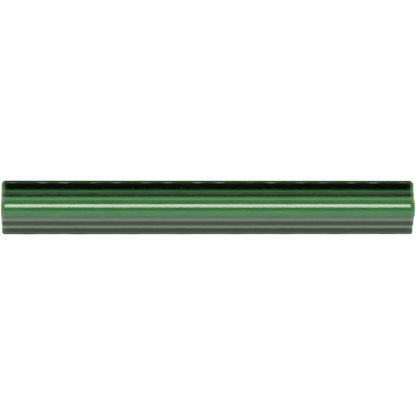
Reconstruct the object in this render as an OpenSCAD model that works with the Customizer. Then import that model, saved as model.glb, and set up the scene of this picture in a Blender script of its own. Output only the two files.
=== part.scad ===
// Astragal moulding tile: one pressed and glazed ceramic trim that runs between
// courses of wall tiles. A half-round bead stands on a chamfered shoulder, between two
// narrow fillets, and a low ledge on each side meets the neighbouring tiles.
// It lies on its keyed back, face up.
// Millimetres. X runs along the tile, Y across it, Z from the back to the face.
// The origin is the centre of the back.

/* [Tile] */
// Length of the tile, one wall tile long
tile_l = 152; // [80:1:305]
// Width of the tile across the wall, from joint to joint
tile_w = 19.6; // [17.6:0.1:26]
// Thickness from the back to the crown of the bead
tile_t = 9; // [8.6:0.1:10]
// Thickness at the long edges, where the neighbouring tiles meet
edge_t = 3.5; // [2.6:0.1:4]

/* [Moulding] */
// Radius of the half-round bead
bead_r = 4.85; // [4.4:0.05:5.2]
// Width of the fillet, the narrow flat at the foot of the bead
fillet_w = 1.3; // [0.9:0.05:1.6]
// Height of the shoulder's crest above the back
crest_z = 5.3; // [5:0.1:5.9]
// Slope of the chamfer below the crest, in degrees
chamfer_angle = 46; // [40:1:60]
// Fall of the fillets and ledges towards the long edges, in degrees
fall_angle = 8; // [1:0.5:10]

/* [Easing] */
// Radius of the tile's four corners, seen from the front
corner_r = 1.2; // [0.8:0.1:2]
// Radius of the top arris of the long edges
arris_r = 0.35; // [0.15:0.05:0.5]
// Radius of the shoulder's crest
crest_r = 0.2; // [0.1:0.05:0.3]
// Radius of the rounding at both ends of the face
end_r = 1; // [0.5:0.1:1.4]

/* [Back] */
// Number of key grooves that the adhesive grips
key_count = 4; // [2:2:4]
// Width of a key groove
key_w = 1.6; // [1:0.1:2.2]
// Distance from one key groove to the next
key_pitch = 4; // [3:0.1:4.6]
// Depth of a key groove
key_depth = 0.6; // [0.3:0.1:1]
// Plain border between the key grooves and each end of the tile
key_border = 7; // [4:0.5:15]

/* [Hidden] */
$fn = 64;
// How far a cut reaches past the face that it cuts
past = 1;
// Slope of the long sides, which stand upright on the back
upright = 90;

bead_z = tile_t - bead_r;
// The bead meets the fillet above its own middle, so it is a little narrower there
bead_foot = sqrt(bead_r ^ 2 - (crest_z - bead_z) ^ 2);
crest_y = bead_foot + fillet_w;
// Where the chamfer meets the ledge
ledge_y = (crest_z + crest_y * tan(chamfer_angle) - top_z(tile_w / 2, edge_t, 0))
    / (tan(chamfer_angle) - tan(fall_angle));

// Turns an outline drawn in X and Y so that it runs along the tile
module along_tile(length) {
    rotate([90, 0, 90])
        linear_extrude(height = length, center = true)
            children();
}

// Turns an outline drawn in X and Y so that it runs across the tile
module across_tile(width) {
    rotate([90, 0, 0])
        linear_extrude(height = width, center = true)
            children();
}

// Plan outline with four rounded corners
module plan_outline(l, w, r) {
    square([l - 2 * r, w], center = true);
    square([l, w - 2 * r], center = true);
    for (x = [-1, 1], y = [-1, 1])
        translate([x * (l / 2 - r), y * (w / 2 - r)])
            circle(r);
}

// Upright outline with its two top corners rounded
module crowned_outline(w, h, r) {
    translate([-w / 2, 0])
        square([w, h - r]);
    translate([-w / 2 + r, 0])
        square([w - 2 * r, h]);
    for (side = [-1, 1])
        translate([side * (w / 2 - r), h - r])
            circle(r);
}

// Height, at the distance y from the middle, of a top that falls to its edges
function top_z(edge_y, edge_z, y) = edge_z + (edge_y - y) * tan(fall_angle);

// Section of one member of the moulding. Its top falls to its edges, which are
// rounded, and its sides go down at side_angle from the level to the height foot_z.
module member_outline(edge_y, edge_z, side_angle, foot_z, r) {
    eased = r * tan((side_angle - fall_angle) / 2);
    eased_y = edge_y - eased * cos(fall_angle);
    eased_z = edge_z + eased * sin(fall_angle);
    for (side = [-1, 1])
        scale([side, 1]) {
            polygon([
                [0, foot_z],
                [0, top_z(edge_y, edge_z, 0)],
                [eased_y, eased_z],
                [edge_y + eased * cos(side_angle), edge_z - eased * sin(side_angle)],
                [edge_y + (edge_z - foot_z) / tan(side_angle), foot_z]
            ]);
            translate([eased_y - r * sin(fall_angle), eased_z - r * cos(fall_angle)])
                circle(r);
        }
}

// One member of the moulding along the tile, rounded over at both ends. The member
// above it covers it as far out as inner_y, and there its top is level.
module member(edge_y, edge_z, inner_y, side_angle, foot_z, r, corner) {
    top = top_z(edge_y, edge_z, inner_y);
    foot_y = edge_y + (edge_z - foot_z) / tan(side_angle);
    intersection() {
        along_tile(tile_l + past)
            member_outline(edge_y, edge_z, side_angle, foot_z, r);
        across_tile(2 * foot_y + past)
            crowned_outline(tile_l, top, end_r);
        linear_extrude(height = top + past)
            plan_outline(tile_l, 2 * foot_y, corner);
    }
}

// Half-round bead on its stem, rounded over at both ends
module bead() {
    linear_extrude(height = bead_z)
        plan_outline(tile_l, 2 * bead_r, end_r);
    translate([0, 0, bead_z])
        rotate([90, 0, 90])
            rotate_extrude(angle = 180)
                intersection() {
                    plan_outline(2 * bead_r, tile_l, end_r);
                    translate([0, -tile_l])
                        square([bead_r, 2 * tile_l]);
                }
}

// Outline of a slot with round ends
module slot_outline(l, w) {
    square([l - w, w], center = true);
    for (end = [-1, 1])
        translate([end * (l - w) / 2, 0])
            circle(w / 2);
}

// Key grooves in the back, which stop short of the ends
module keys() {
    for (i = [0 : key_count - 1])
        translate([0, (i - (key_count - 1) / 2) * key_pitch, -past])
            linear_extrude(height = key_depth + past)
                slot_outline(tile_l - 2 * key_border, key_w);
}

// The shoulder reaches down into the base, past what the rounded ends lay bare
module astragal_tile() {
    color("#2a6e38")
        difference() {
            union() {
                member(tile_w / 2, edge_t, ledge_y, upright, 0, arris_r, corner_r);
                member(crest_y, crest_z, bead_foot, chamfer_angle, edge_t - end_r, crest_r, end_r);
                bead();
            }
            keys();
        }
}

astragal_tile();
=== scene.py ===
# Looks of the astragal moulding tile: a glossy green glaze on a pressed clay body.
# The glaze is thin on the crests and nearly black on the fillets and ledges, partly as pooled
# glaze and partly as painted shade, and it stops short of the back, where the fired clay is
# bare. The bead's flanks carry painted light above and painted shade below, the pale ends
# some painted reflection, and the floor a painted shade behind the tile. Metres, in the frame
# of the imported model.
import math
from types import SimpleNamespace

import bpy
from mathutils import Matrix, Vector, noise


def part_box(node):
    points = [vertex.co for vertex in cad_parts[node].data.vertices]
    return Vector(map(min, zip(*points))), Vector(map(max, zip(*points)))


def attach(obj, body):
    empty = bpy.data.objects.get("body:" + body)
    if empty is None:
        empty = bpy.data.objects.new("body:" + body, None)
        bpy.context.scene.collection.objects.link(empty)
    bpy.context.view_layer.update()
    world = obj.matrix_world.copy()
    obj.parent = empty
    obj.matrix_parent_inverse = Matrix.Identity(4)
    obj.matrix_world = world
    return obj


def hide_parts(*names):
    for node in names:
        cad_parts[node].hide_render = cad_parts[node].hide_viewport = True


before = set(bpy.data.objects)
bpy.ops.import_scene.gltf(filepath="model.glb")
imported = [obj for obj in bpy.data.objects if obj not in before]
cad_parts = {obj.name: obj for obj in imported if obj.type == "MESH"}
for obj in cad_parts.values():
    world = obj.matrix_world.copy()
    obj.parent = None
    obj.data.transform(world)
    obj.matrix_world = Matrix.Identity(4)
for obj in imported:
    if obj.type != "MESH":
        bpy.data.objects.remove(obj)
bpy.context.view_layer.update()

MM = 0.001
NODE = "astragal_tile"
LOW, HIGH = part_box(NODE)
HALF_L = (HIGH.x - LOW.x) / 2
HALF_W = (HIGH.y - LOW.y) / 2
TILE_T = HIGH.z

# The moulding's section, as in the pressed tile
EDGE_T = 3.5 * MM
BEAD_R = 4.85 * MM
BEAD_Z = TILE_T - BEAD_R
LEDGE_FALL = math.radians(8)

# The two halves of the section look different in the photograph. Here that is taken as
# glaze that has run to the lower edge, which is a guess, and as painted light and shade.
# The crest is where the fillet meets the chamfer, the nook is beside the bead, and corner_r
# is seen in plan. These values say how dark the glaze is, up to 0.9, and below 0 where it is
# thinnest; the darkness is partly pooled glaze and partly painted shade. The flank's value
# is painted light on the upper flank and painted shade on the lower one. The darkness falls
# to edge_pool over edge_fade, and rises to the ledge's depth over hollow_fade. Brown is the
# strength of the brown line on the crest.
UPPER = SimpleNamespace(
    crest=(5.81 * MM, 5.3 * MM),
    fillet_fall=math.radians(11),
    chamfer=math.radians(45),
    nook_r=0.05 * MM,
    corner_r=1.2 * MM,
    flank_painted_shading=-0.07,
    fillet_pool_and_shade=0.6,
    ledge_pool_and_shade=0.9,
    edge_pool=0.3,
    edge_fade=0.3 * MM,
    hollow_fade=0.3 * MM,
    brown=1.0,
)
LOWER = SimpleNamespace(
    crest=(6.18 * MM, 5.45 * MM),
    fillet_fall=math.radians(16),
    chamfer=math.radians(48),
    nook_r=3.5 * MM,
    corner_r=0.85 * MM,
    flank_painted_shading=0.15,
    fillet_pool_and_shade=0.9,
    ledge_pool_and_shade=0.4,
    edge_pool=0.2,
    edge_fade=0.8 * MM,
    hollow_fade=0.4 * MM,
    brown=0.3,
)

# Radii of the section's other corners, and how far the rounding of the ends goes down and
# in. The crest and the lower corners are sharper than the pressed form's, to fit the
# photograph.
CREST_R = 0.07 * MM
HOLLOW_R = 0.01 * MM
ARRIS_R = 0.34 * MM
FOOT_R = 0.1 * MM
END_DOWN = 1.0 * MM
END_REACH = 1.6 * MM

# Shares of the ends' rounding by which the crest moves in and the ledge's edge down
CREST_IN = 0.5
EDGE_DOWN = 0.8

# Cuts of the section's arcs
BEAD_CUTS = 44
NOOK_CUTS = 12
CREST_CUTS = 8
HOLLOW_CUTS = 6
ARRIS_CUTS = 8
FOOT_CUTS = 4

# Cuts of the straight lines between the arcs
FILLET_CUTS = 9
CHAMFER_CUTS = 10
LEDGE_CUTS = 16
SIDE_CUTS = 8

# Steps along the tile: the plain part, the rounding of an end, and the end of a groove
STEP_ALONG = 0.9 * MM
END_STEPS = 16
KEY_STEPS = 8

# The key grooves in the back. At their ends they are a slit of KEY_SLIT to each side of
# their middle, and they have their full depth where they are wider than KEY_RISE.
KEY_COUNT = 4
KEY_W = 1.6 * MM
KEY_PITCH = 4 * MM
KEY_DEPTH = 0.6 * MM
KEY_BORDER = 7 * MM
KEY_SLIT = 0.01 * MM
KEY_RISE = KEY_W / 8

# The glaze's slow wave: how many there are along the tile, the weights of the swell, of
# the swell half as long and of the drift that makes them uneven, and the shares of the
# nook's and the arris's radius that follow it
WAVES = 8
SWELL = 0.55
SHORT_SWELL = 0.6
DRIFT = 0.5
DRIFT_LENGTH = 9 * MM
DRIFT_ROW = 3.7
NOOK_WAVE = 0.06
ARRIS_WAVE = 0.6

# How dark the ledge is beside the ends and away from them, partly pooled glaze and partly
# painted shade, and the distances from the end between which it deepens: in the middle of the
# ledge, and at its two borders
POOL_AND_SHADE_AT_END = 0.3
POOL_AND_SHADE_DEEP = 0.9
MIDDLE_DEEPENS = (0.1 * MM, 1.6 * MM)
BORDER_DEEPENS = (0.4 * MM, 3.0 * MM)

# Where the painted light and shade on the bead's flank change, where the pooled glaze and
# painted shade change at its heel, and their depth above the hollow
CROWN_CLEAR = 1.5 * MM
FLANK_START = 3.0 * MM
FLANK_END = 0.3 * MM
HEEL_OUT = 0.05 * MM
HEEL_SHARE = 0.6
FILLET_OUT = 0.4 * MM
CHAMFER_FOOT_POOL_AND_SHADE = 0.56
EDGE_SKIN = 0.03 * MM

# Stops of the glaze's state, as distances outwards from the crest or the edge: the depth of
# pooled glaze and painted shade, the share of the brown line, and the thin glaze beside the edge
CREST_POOLS_AND_SHADE = ((-0.2 * MM, 0.55), (0.15 * MM, 0.3), (0.45 * MM, 0.1), (0.7 * MM, -0.04))
CREST_BROWN = ((-0.8 * MM, 0.0), (-0.4 * MM, 1.0), (0.0, 1.0), (0.2 * MM, 0.0))
EDGE_THIN = ((-0.9 * MM, 0.0), (-0.5 * MM, 0.5), (-0.2 * MM, 0.5), (-0.01 * MM, 0.0))

# The dull border at the edge: where it starts, how far that wavers, and where it is full
DRY_START = 0.45 * MM
DRY_WAVE = 0.15 * MM
DRY_FULL = 0.15 * MM

SHARP_ANGLE = math.radians(50)

# The glaze's colours by depth, from its thinnest to its deepest, which is nearly black and
# stands partly for pooled glaze and partly for painted shade, the depth where the darkness is
# 0, and how much the drifts, mottles and streaks change the depth
GLAZE_COLOURS = (
    (0.0, (0.045, 0.20, 0.055)),
    (0.12, (0.028, 0.160, 0.042)),
    (0.4, (0.012, 0.085, 0.018)),
    (0.75, (0.004, 0.026, 0.005)),
    (1.0, (0.0008, 0.0025, 0.0006)),
)
GLAZE_DEPTH = 0.1
DRIFT_DEPTH = 0.16
MOTTLE_DEPTH = 0.12
STREAK_DEPTH = 0.25

# The brown line on the crest, which the mottles break up, and the pale colour at the ends,
# partly thinner glaze and partly a painted reflection on their rounding. That is weaker on the
# lower ledge, past the places in millimetres of PALE_WEAKENS.
BROWN = (0.035, 0.032, 0.014, 1)
BROWN_SHARE = 0.6
BROWN_BREAKS = (0.3, 0.6)
BROWN_BROKEN = 0.5
PALE = (0.16, 0.30, 0.10, 1)
PALE_SHARE = 0.5
PALE_REACH = 2.0 * MM
PALE_LOWER = 0.2
PALE_WEAKENS = (-5.0, -1.0)

# The glaze's surface: its refraction, its relief of broad ripples and a fine peel, and its
# roughness where it is plain, on the thin crests and at the dull border
GLAZE_IOR = 1.6
GLAZE_RELIEF = 0.01 * MM
GLAZE_BUMP = 0.6
RIPPLE_SHARE = 0.7
PEEL_SHARE = 0.3
GLAZE_ROUGH = (0.05, 0.10)
THIN_ROUGH = 0.04
DRY_ROUGH = 0.5
PLAIN_SPECULAR = 0.5

# Where the glaze starts on the sides, how far that line wavers, and how soft it is, the
# last two in millimetres
GLAZE_START = 0.1 * MM
LINE_WAVER = 0.25
LINE_SOFT = 0.06

# The bare clay
CLAY_DARK = (0.50, 0.39, 0.27, 1)
CLAY_PALE = (0.62, 0.52, 0.39, 1)
CLAY_GRAIN = (0.30, 0.20, 0.12, 1)
CLAY_RELIEF = 0.06 * MM
CLAY_BUMP = 0.7
CLAY_ROUGH = 0.88

# The floor: its paper, its glow, and the dimmer glow close behind the tile, a painted shade
FLOOR_SIZE = 30.0
FLOOR_Z = 0.001 * MM
PAPER = (0.55, 0.55, 0.55, 1)
GLOW = (1, 0.99, 0.97, 1)
PAINTED_SHADE_GLOW = 0.67
PAINTED_SHADE_FROM = -3 * HALF_W
GLOW_RETURNS = (0.12, 0.3)

# The surroundings: a band along the horizon, the dim rest, and pale walls at both ends.
# The spans are read off a direction of length 1: its height, and its part along the tile.
HORIZON = 0.9
SKY = 0.02
HORIZON_ENDS = (0.05, 0.15)
END_WALLS = 0.5
END_WALLS_START = (0.45, 0.75)

# The lamps. The two walls meet in one edge.
LIGHTBOX_COLOUR = (1, 0.93, 0.88)
WALL_COLOUR = (1, 0.97, 0.93)
WALL_WIDTH = 1.6
WALL_FOLD = (-64.0, 0.85)

# The photograph's frame and the camera's place in it
PHOTO_PX = 416
TILE_PX = 411.9
TILE_MIDDLE_PX = (208.4, 208.2)
CAMERA_DISTANCE = 0.705
CAMERA_LEAN = math.radians(8.5)
CAMERA_TURN = math.radians(-2.3)


def smooth(low, high, value):
    """0 below low, 1 above high, and a smooth step between them."""
    share = min(1.0, max(0.0, (value - low) / (high - low)))
    return share * share * (3 - 2 * share)


def between(value, stops):
    """Value read off a line through (place, value) stops, flat past both of its ends."""
    for (a, low), (b, high) in zip(stops, stops[1:]):
        if value < b:
            return low + (high - low) * min(1.0, max(0.0, (value - a) / (b - a)))
    return stops[-1][1]


def arc(centre, radius, start, end, count):
    """Points of an arc in the section, with angles from +Y towards +Z."""
    angles = [start + (end - start) * i / count for i in range(count + 1)]
    return [centre + radius * Vector((math.cos(a), math.sin(a))) for a in angles]


def rounded(before, corner, after, radius, count):
    """The arc that takes a corner of the section off, from the point before it on."""
    to_before = (before - corner).normalized()
    to_after = (after - corner).normalized()
    half = math.acos(to_before.dot(to_after)) / 2
    centre = corner + (to_before + to_after).normalized() * radius / math.sin(half)
    start = corner + to_before * radius / math.tan(half) - centre
    end = corner + to_after * radius / math.tan(half) - centre
    return [centre + radius * start.slerp(end, i / count).normalized() for i in range(count + 1)]


def chain(*parts):
    """Joins runs of points with straight lines, each cut into the number given. The cuts
    crowd towards the runs, so that the shading of a run doesn't spread along the line."""
    points = list(parts[0])
    for cuts, run in zip(parts[1::2], parts[2::2]):
        start = points[-1]
        points += [start.lerp(run[0], smooth(0, cuts, i)) for i in range(1, cuts)]
        points += run
    return points


def wave(x):
    """The glaze's slow wave: a pair of swells in each part of the tile."""
    turn = math.pi * WAVES * x / HALF_L
    drift = noise.noise(Vector((x / DRIFT_LENGTH, DRIFT_ROW, 0)))
    return SWELL * math.cos(turn) - SHORT_SWELL * math.cos(2 * turn) + DRIFT * drift


def rounding(x, radius):
    """How far a rounding of this radius at the ends reaches in at a place along the tile."""
    into = min(radius, max(0.0, radius - (HALF_L - abs(x))))
    return radius - math.sqrt(radius**2 - into**2)


def deepening(reach, end):
    """How dark the ledge is, as pooled glaze and painted shade, at a distance from the end, where it
    deepens over a reach.
    """
    return POOL_AND_SHADE_AT_END + (POOL_AND_SHADE_DEEP - POOL_AND_SHADE_AT_END) * smooth(*reach, end)


def stops_from(place, stops, share=1.0):
    """Stops moved out to a place, with their values scaled."""
    return [(place + out, share * value) for out, value in stops]


def glaze_stops(half, end, swell, heel_y, crest_y, hollow_y, edge_y):
    """How dark, thin and dry the glaze is across half a section, as stops along Y. The darkness is
    pooled glaze and painted shade, and painted light and shade on the bead's flanks.
    """
    border = deepening(BORDER_DEEPENS, end)
    # Nearly black in the nook, on the fillet, at the hollow and on the ledge: partly pooled glaze,
    # partly painted shade. The flank's value is painted light above and painted shade below.
    pools_and_shade = [
        (CROWN_CLEAR, 0.0),
        (FLANK_START, half.flank_painted_shading),
        (heel_y - FLANK_END, half.flank_painted_shading),
        (heel_y + HEEL_OUT, HEEL_SHARE * half.fillet_pool_and_shade),
        (heel_y + FILLET_OUT, half.fillet_pool_and_shade),
        *stops_from(crest_y, CREST_POOLS_AND_SHADE),
        (hollow_y - half.hollow_fade, CHAMFER_FOOT_POOL_AND_SHADE),
        (hollow_y, border),
        ((hollow_y + edge_y) / 2, deepening(MIDDLE_DEEPENS, end)),
        (edge_y - half.edge_fade, half.ledge_pool_and_shade * border / POOL_AND_SHADE_DEEP),
        (edge_y - EDGE_SKIN, half.edge_pool),
    ]
    thins = stops_from(crest_y, CREST_BROWN, half.brown) + stops_from(edge_y, EDGE_THIN)
    drys = [(edge_y - (DRY_START - DRY_WAVE * swell), 0.0), (edge_y - DRY_FULL, 1.0)]
    return pools_and_shade, thins, drys


def half_section(x, half):
    """The glazed half of the section at a station, from the crown down to the foot: its
    points, and at each how dark the glaze is, from pooling and from painted light and shade,
    and how thin and dry it is."""
    over = rounding(x, END_REACH) * END_DOWN / END_REACH
    swell = wave(x)
    bead_r = BEAD_R - over
    crown = Vector((0, BEAD_Z))
    crest = Vector(half.crest) - over * Vector((CREST_IN, 1))
    edge = Vector((HALF_W - rounding(x, half.corner_r), EDGE_T - EDGE_DOWN * over))
    foot = Vector((edge.x, 0))

    # The nook's arc touches the bead and the fillet
    level = Vector((-math.cos(half.fillet_fall), math.sin(half.fillet_fall)))
    nook_r = half.nook_r * (1 + NOOK_WAVE * swell)
    start = crest + nook_r * Vector((level.y, -level.x)) - crown
    along = start.dot(level)
    reach = -along - math.sqrt(along**2 - start.length_squared + (bead_r + nook_r) ** 2)
    nook = crown + start + reach * level
    lift = math.atan2(nook.y - BEAD_Z, nook.x)

    # The hollow is where the chamfer meets the ledge
    steep, gentle = math.tan(half.chamfer), math.tan(LEDGE_FALL)
    rise = crest.y + crest.x * steep - edge.y - edge.x * gentle
    hollow_y = rise / (steep - gentle)
    hollow = Vector((hollow_y, edge.y + (edge.x - hollow_y) * gentle))

    points = chain(
        arc(crown, bead_r, math.pi / 2, lift, BEAD_CUTS), 1,
        arc(nook, nook_r, lift + math.pi, 1.5 * math.pi - half.fillet_fall, NOOK_CUTS)[1:],
        FILLET_CUTS,
        rounded(nook, crest, hollow, CREST_R, CREST_CUTS), CHAMFER_CUTS,
        rounded(crest, hollow, edge, HOLLOW_R, HOLLOW_CUTS), LEDGE_CUTS,
        rounded(hollow, edge, foot, ARRIS_R * (1 + ARRIS_WAVE * swell), ARRIS_CUTS), SIDE_CUTS,
        rounded(edge, foot, Vector((0, 0)), FOOT_R, FOOT_CUTS),
    )
    heel_y = bead_r * math.cos(lift)
    states = glaze_stops(half, HALF_L - abs(x), swell, heel_y, crest.x, hollow.x, edge.x)
    return [(*p, *(between(p.x, stops) for stops in states)) for p in points]


def stations():
    """Places along the tile: fine where the ends round over and the key grooves stop."""
    quarter = math.pi / 2
    over = [
        HALF_L - END_REACH * (1 - math.sin(quarter * i / END_STEPS)) for i in range(END_STEPS + 1)
    ]
    key_end = HALF_L - KEY_BORDER
    stop = [key_end - KEY_W / 2 * (i / KEY_STEPS) ** 2 for i in range(KEY_STEPS + 1)]
    plain = []
    place = 0.0
    while place < HALF_L - END_REACH - STEP_ALONG / 2:
        if not key_end - KEY_W / 2 - STEP_ALONG / 2 < place < key_end + STEP_ALONG / 2:
            plain.append(place)
        place += STEP_ALONG
    half = sorted(plain + stop + over)
    return [-x for x in reversed(half) if x > 0] + half


def key_half_width(x):
    """Half the width of a key groove at a station: it narrows to a slit at a round end."""
    radius = KEY_W / 2
    left = HALF_L - KEY_BORDER - abs(x)
    if left <= 0:
        return KEY_SLIT
    if left >= radius:
        return radius
    return max(KEY_SLIT, math.sqrt(radius**2 - (radius - left) ** 2))


def half_back(x):
    """The back of the section for y > 0 at a station, with its key grooves, inwards."""
    half = key_half_width(x)
    depth = KEY_DEPTH * smooth(0, KEY_RISE, half)
    points = []
    for i in reversed(range(KEY_COUNT // 2)):
        middle = (i + 0.5) * KEY_PITCH
        points += [(middle + half, 0), (middle + half, depth)]
        points += [(middle - half, depth), (middle - half, 0)]
    return [(y, z, 0.0, 0.0, 0.0) for y, z in points]


def ring(x):
    """One closed ring of the tile at a station."""
    upper = half_section(x, UPPER) + half_back(x)
    lower = half_section(x, LOWER)[1:] + half_back(x)
    return [(x, *p) for p in upper] + [(x, -p[0], *p[1:]) for p in reversed(lower)]


def tile_mesh():
    """The glazed tile as one closed mesh, with the state of its glaze, painted light and shade among
    it, at every point.
    """
    rings = [ring(x) for x in stations()]
    count = len(rings[0])
    points = [p for r in rings for p in r]
    faces = []
    for i in range(len(rings) - 1):
        for j in range(count):
            k = (j + 1) % count
            faces.append((i * count + j, i * count + k, (i + 1) * count + k, (i + 1) * count + j))
    last = (len(rings) - 1) * count
    faces.append(tuple(reversed(range(count))))
    faces.append(tuple(range(last, last + count)))
    mesh = bpy.data.meshes.new("astragal_tile_glazed")
    mesh.from_pydata([p[:3] for p in points], [], faces)
    for name, place in (("pool_and_shade", 3), ("thin", 4), ("dry", 5)):
        attribute = mesh.attributes.new(name, "FLOAT", "POINT")
        attribute.data.foreach_set("value", [p[place] for p in points])
    mesh.polygons.foreach_set("use_smooth", [True] * len(mesh.polygons))
    mesh.set_sharp_from_angle(angle=SHARP_ANGLE)
    mesh.validate()
    mesh.update()
    return mesh


class Nodes:
    """A short way to write a node tree: its methods return an output socket."""

    def __init__(self, tree):
        self.tree = tree
        tree.nodes.clear()

    def add(self, kind, inputs=None, out=0, **settings):
        made = self.tree.nodes.new(kind)
        for name, value in settings.items():
            setattr(made, name, value)
        for name, value in (inputs or {}).items():
            socket = made.inputs[name]
            if isinstance(value, bpy.types.NodeSocket):
                self.tree.links.new(value, socket)
            else:
                socket.default_value = value
        return made.outputs[out] if len(made.outputs) else made

    def math(self, operation, a, b=0.0, clamp=False):
        return self.add("ShaderNodeMath", {0: a, 1: b}, operation=operation, use_clamp=clamp)

    def mix(self, share, a, b):
        return self.add("ShaderNodeMix", {0: share, 6: a, 7: b}, out=2, data_type="RGBA")

    def noise(self, where, scale, detail=2.0, rough=0.5):
        inputs = {"Vector": where, "Scale": scale, "Detail": detail, "Roughness": rough}
        return self.add("ShaderNodeTexNoise", inputs)

    def span(self, value, low, high, to_low=0.0, to_high=1.0):
        inputs = {"Value": value, 1: low, 2: high, 3: to_low, 4: to_high}
        return self.add("ShaderNodeMapRange", inputs, interpolation_type="SMOOTHSTEP")

    def ramp(self, share, stops):
        made = self.tree.nodes.new("ShaderNodeValToRGB")
        self.tree.links.new(share, made.inputs[0])
        elements = made.color_ramp.elements
        while len(elements) < len(stops):
            elements.new(0.5)
        for element, (place, colour) in zip(elements, stops):
            element.position = place
            element.color = (*colour, 1)
        return made.outputs[0]

    def stretched(self, where, x, y, z):
        return self.add("ShaderNodeVectorMath", {0: where, 1: (x, y, z)}, operation="MULTIPLY")

    def axis(self, where, number):
        return self.add("ShaderNodeSeparateXYZ", {0: where}, out=number)

    def attribute(self, name):
        return self.add("ShaderNodeAttribute", out=2, attribute_name=name)


def glaze_colour(n, mm, pool_and_shade, thin):
    """Green by depth, nearly black where pooled glaze and painted shade are deepest, with drifts,
    mottles and streaks, brown on the crests, and pale at the ends with a painted reflection.
    """
    drift = n.noise(n.stretched(mm, x=0.12, y=0.5, z=0.5), scale=1.0, detail=3.0)
    mottle = n.noise(n.stretched(mm, x=0.6, y=1.2, z=1.2), scale=1.0, detail=4.0, rough=0.6)
    streak = n.noise(n.stretched(mm, x=0.15, y=2.5, z=2.5), scale=1.0, detail=3.0)
    # Depth of pooled glaze and painted shade, made uneven by the textures
    thick_and_shade = pool_and_shade
    for texture, depth in ((drift, DRIFT_DEPTH), (mottle, MOTTLE_DEPTH), (streak, STREAK_DEPTH)):
        around_middle = n.math("SUBTRACT", texture, 0.5)
        thick_and_shade = n.math("ADD", thick_and_shade, n.math("MULTIPLY", around_middle, depth))
    colour = n.ramp(n.math("ADD", thick_and_shade, GLAZE_DEPTH, clamp=True), GLAZE_COLOURS)
    broken = n.math("MULTIPLY", thin, n.span(mottle, *BROWN_BREAKS, BROWN_BROKEN, 1.0))
    colour = n.mix(n.math("MULTIPLY", broken, BROWN_SHARE), colour, BROWN)
    # Pale at the ends: thinner glaze, and a painted reflection on the rounded ends
    along = n.math("ABSOLUTE", n.axis(mm, 0))
    end = n.span(along, (HALF_L - PALE_REACH) / MM, HALF_L / MM, 0.0, PALE_SHARE)
    end = n.math("MULTIPLY", end, n.span(n.axis(mm, 1), *PALE_WEAKENS, PALE_LOWER, 1.0))
    return n.mix(end, colour, PALE)


def glaze_shader(n, mm):
    """The glaze: nearly smooth, with a slight ripple, and dull at its dry border."""
    pool_and_shade, thin, dry = (n.attribute(name) for name in ("pool_and_shade", "thin", "dry"))
    ripple = n.noise(n.stretched(mm, x=0.35, y=0.9, z=0.9), scale=1.0, detail=2.0)
    peel = n.noise(mm, scale=1.3, detail=2.0)
    ripple = n.math("MULTIPLY", ripple, RIPPLE_SHARE)
    relief = n.math("ADD", ripple, n.math("MULTIPLY", peel, PEEL_SHARE))
    bump = {"Height": relief, "Distance": GLAZE_RELIEF, "Strength": GLAZE_BUMP}
    gloss = n.span(n.noise(mm, scale=0.5, detail=3.0), 0.3, 0.7, *GLAZE_ROUGH)
    gloss = n.math("ADD", gloss, n.math("MULTIPLY", thin, THIN_ROUGH))
    gloss = n.math("ADD", gloss, n.math("MULTIPLY", dry, DRY_ROUGH))
    return n.add("ShaderNodeBsdfPrincipled", {
        "Base Color": glaze_colour(n, mm, pool_and_shade, thin),
        "Roughness": gloss,
        "IOR": GLAZE_IOR,
        "Specular IOR Level": n.span(dry, 0.0, 1.0, PLAIN_SPECULAR, 0.0),
        "Normal": n.add("ShaderNodeBump", bump),
    })


def clay_shader(n, mm):
    """Bare fired clay: cloudy, with dark grains and small pits."""
    grain = n.noise(mm, scale=5.0, detail=5.0, rough=0.7)
    cloud = n.noise(mm, scale=0.25, detail=3.0)
    clay = n.mix(n.span(cloud, 0.3, 0.7), CLAY_DARK, CLAY_PALE)
    pits = {"Height": grain, "Distance": CLAY_RELIEF, "Strength": CLAY_BUMP}
    return n.add("ShaderNodeBsdfPrincipled", {
        "Base Color": n.mix(n.span(grain, 0.62, 0.75), clay, CLAY_GRAIN),
        "Roughness": CLAY_ROUGH,
        "Normal": n.add("ShaderNodeBump", pits),
    })


def glaze_material():
    """Glaze over clay. Object coordinates are turned to millimetres for every texture."""
    material = bpy.data.materials.new("green_glaze")
    material.use_nodes = True
    n = Nodes(material.node_tree)
    mm = n.stretched(n.add("ShaderNodeTexCoord", out=3), 1 / MM, 1 / MM, 1 / MM)
    waver = n.noise(n.stretched(mm, x=0.35, y=0.35, z=0.05), scale=1.0, detail=4.0, rough=0.6)
    line_z = n.math("ADD", GLAZE_START / MM - LINE_WAVER / 2, n.math("MULTIPLY", waver, LINE_WAVER))
    on = n.span(n.math("SUBTRACT", n.axis(mm, 2), line_z), -LINE_SOFT, LINE_SOFT)
    both = n.add("ShaderNodeMixShader", {0: on, 1: clay_shader(n, mm), 2: glaze_shader(n, mm)})
    n.add("ShaderNodeOutputMaterial", {0: both})
    return material


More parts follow.
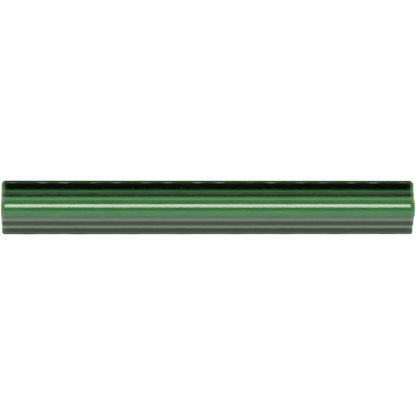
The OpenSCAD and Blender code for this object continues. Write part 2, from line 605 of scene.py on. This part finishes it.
def floor_material():
    """White floor that keeps the tile's shadow, with a painted shade: it is a little dimmer close
    behind the tile.
    """
    material = bpy.data.materials.new("white_floor")
    material.use_nodes = True
    n = Nodes(material.node_tree)
    path = n.tree.nodes.new("ShaderNodeLightPath")
    seen = n.math("MAXIMUM", path.outputs["Is Camera Ray"], path.outputs["Is Glossy Ray"])
    seen = n.math("MAXIMUM", seen, path.outputs["Is Transmission Ray"])
    paper = n.add("ShaderNodeBsdfDiffuse", {"Color": PAPER})
    place = n.add("ShaderNodeTexCoord", out=3)
    away = n.add("ShaderNodeVectorMath", {0: place}, out=1, operation="LENGTH")
    # Painted shade: the glow dims from about 30 mm on the -Y side to two thirds on the +Y side,
    # behind the tile from the soft wall, and is full again from 0.12 to 0.3 m away; the glaze
    # reflects it.
    painted_shade = n.span(n.axis(place, 1), PAINTED_SHADE_FROM, HALF_W, 1.0, PAINTED_SHADE_GLOW)
    strength = n.math("MAXIMUM", painted_shade, n.span(away, *GLOW_RETURNS, PAINTED_SHADE_GLOW, 1.0))
    lift = n.add("ShaderNodeEmission", {
        "Color": GLOW,
        "Strength": n.math("MULTIPLY", seen, strength),
    })
    n.add("ShaderNodeOutputMaterial", {0: n.add("ShaderNodeAddShader", {0: paper, 1: lift})})
    return material


def add_floor():
    """The floor lies a micron above the back, so that the two don't share one plane."""
    size, z = FLOOR_SIZE, FLOOR_Z
    mesh = bpy.data.meshes.new("floor")
    corners = [(-size, -size, z), (size, -size, z), (size, size, z), (-size, size, z)]
    mesh.from_pydata(corners, [], [(0, 1, 2, 3)])
    mesh.materials.append(floor_material())
    floor = bpy.data.objects.new("floor", mesh)
    bpy.context.scene.collection.objects.link(floor)


def place_item(item, side, away, where):
    """Links a lamp or camera that looks along -away, with its width along side."""
    turn = Matrix((side, away.cross(side), away)).transposed().to_4x4()
    item.matrix_world = Matrix.Translation(where) @ turn
    bpy.context.scene.collection.objects.link(item)


def add_panel(name, near, far, width, radiance, colour):
    """A flat lamp between two long edges, each given as degrees from the zenith towards
    +Y and as a distance from the tile in the plane across it."""
    edges = []
    for angle, distance in (near, far):
        a = math.radians(angle)
        edges.append(Vector((0, distance * math.sin(a), distance * math.cos(a))))
    middle = (edges[0] + edges[1]) / 2
    across = edges[1] - edges[0]
    lamp = bpy.data.lights.new(name, "AREA")
    lamp.shape = "RECTANGLE"
    lamp.size = width
    lamp.size_y = across.length
    lamp.color = colour
    lamp.energy = radiance * math.pi * width * across.length
    item = bpy.data.objects.new(name, lamp)
    side = Vector((1, 0, 0))
    away = side.cross(across).normalized()
    if away.dot(middle) < 0:
        away = -away
    place_item(item, side, away, middle)


def add_world():
    """Dim surroundings with a pale band along the horizon and pale walls at both ends."""
    world = bpy.data.worlds.new("studio")
    bpy.context.scene.world = world
    world.use_nodes = True
    n = Nodes(world.node_tree)
    way = n.add("ShaderNodeTexCoord", out=0)
    band = n.span(n.axis(way, 2), *HORIZON_ENDS, HORIZON, SKY)
    walls = n.span(n.math("ABSOLUTE", n.axis(way, 0)), *END_WALLS_START, 0.0, END_WALLS)
    strength = n.math("MAXIMUM", band, walls)
    n.add("ShaderNodeOutputWorld", {
        0: n.add("ShaderNodeBackground", {"Color": (1, 1, 1, 1), "Strength": strength})
    })


def add_camera():
    """Camera above the tile, leaning a little to its upper edge and turned to its left end.
    The tile's length stays level in the picture."""
    frame_w = 2 * HALF_L * PHOTO_PX / TILE_PX
    per_px = frame_w / PHOTO_PX
    right = (PHOTO_PX / 2 - TILE_MIDDLE_PX[0]) * per_px
    up = (TILE_MIDDLE_PX[1] - PHOTO_PX / 2) * per_px
    aim = Vector((right, up, EDGE_T))
    away = Vector((math.tan(CAMERA_TURN), math.tan(CAMERA_LEAN), 1)).normalized()
    length = Vector((1, 0, 0))
    side = away.cross(length).cross(away).normalized()
    data = bpy.data.cameras.new("camera")
    data.lens = data.sensor_width * CAMERA_DISTANCE / frame_w
    camera = bpy.data.objects.new("camera", data)
    place_item(camera, side, away, aim + away * CAMERA_DISTANCE)
    bpy.context.scene.camera = camera


add_camera()
tile = bpy.data.objects.new("astragal_tile_glazed", tile_mesh())
bpy.context.scene.collection.objects.link(tile)
tile.data.materials.append(glaze_material())
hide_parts(NODE)
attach(tile, "root")

add_floor()
add_panel(
    "lightbox", near=(18.3, 0.7), far=(45.0, 0.7), width=0.38, radiance=9.5, colour=LIGHTBOX_COLOUR
)
add_panel(
    "soft_wall", near=(-13.0, 1.0), far=WALL_FOLD, width=WALL_WIDTH, radiance=1.15, colour=WALL_COLOUR
)
add_panel(
    "low_wall", near=WALL_FOLD, far=(-88.0, 0.9), width=WALL_WIDTH, radiance=0.97, colour=WALL_COLOUR
)
add_world()
bpy.context.scene.view_settings.view_transform = "Standard"
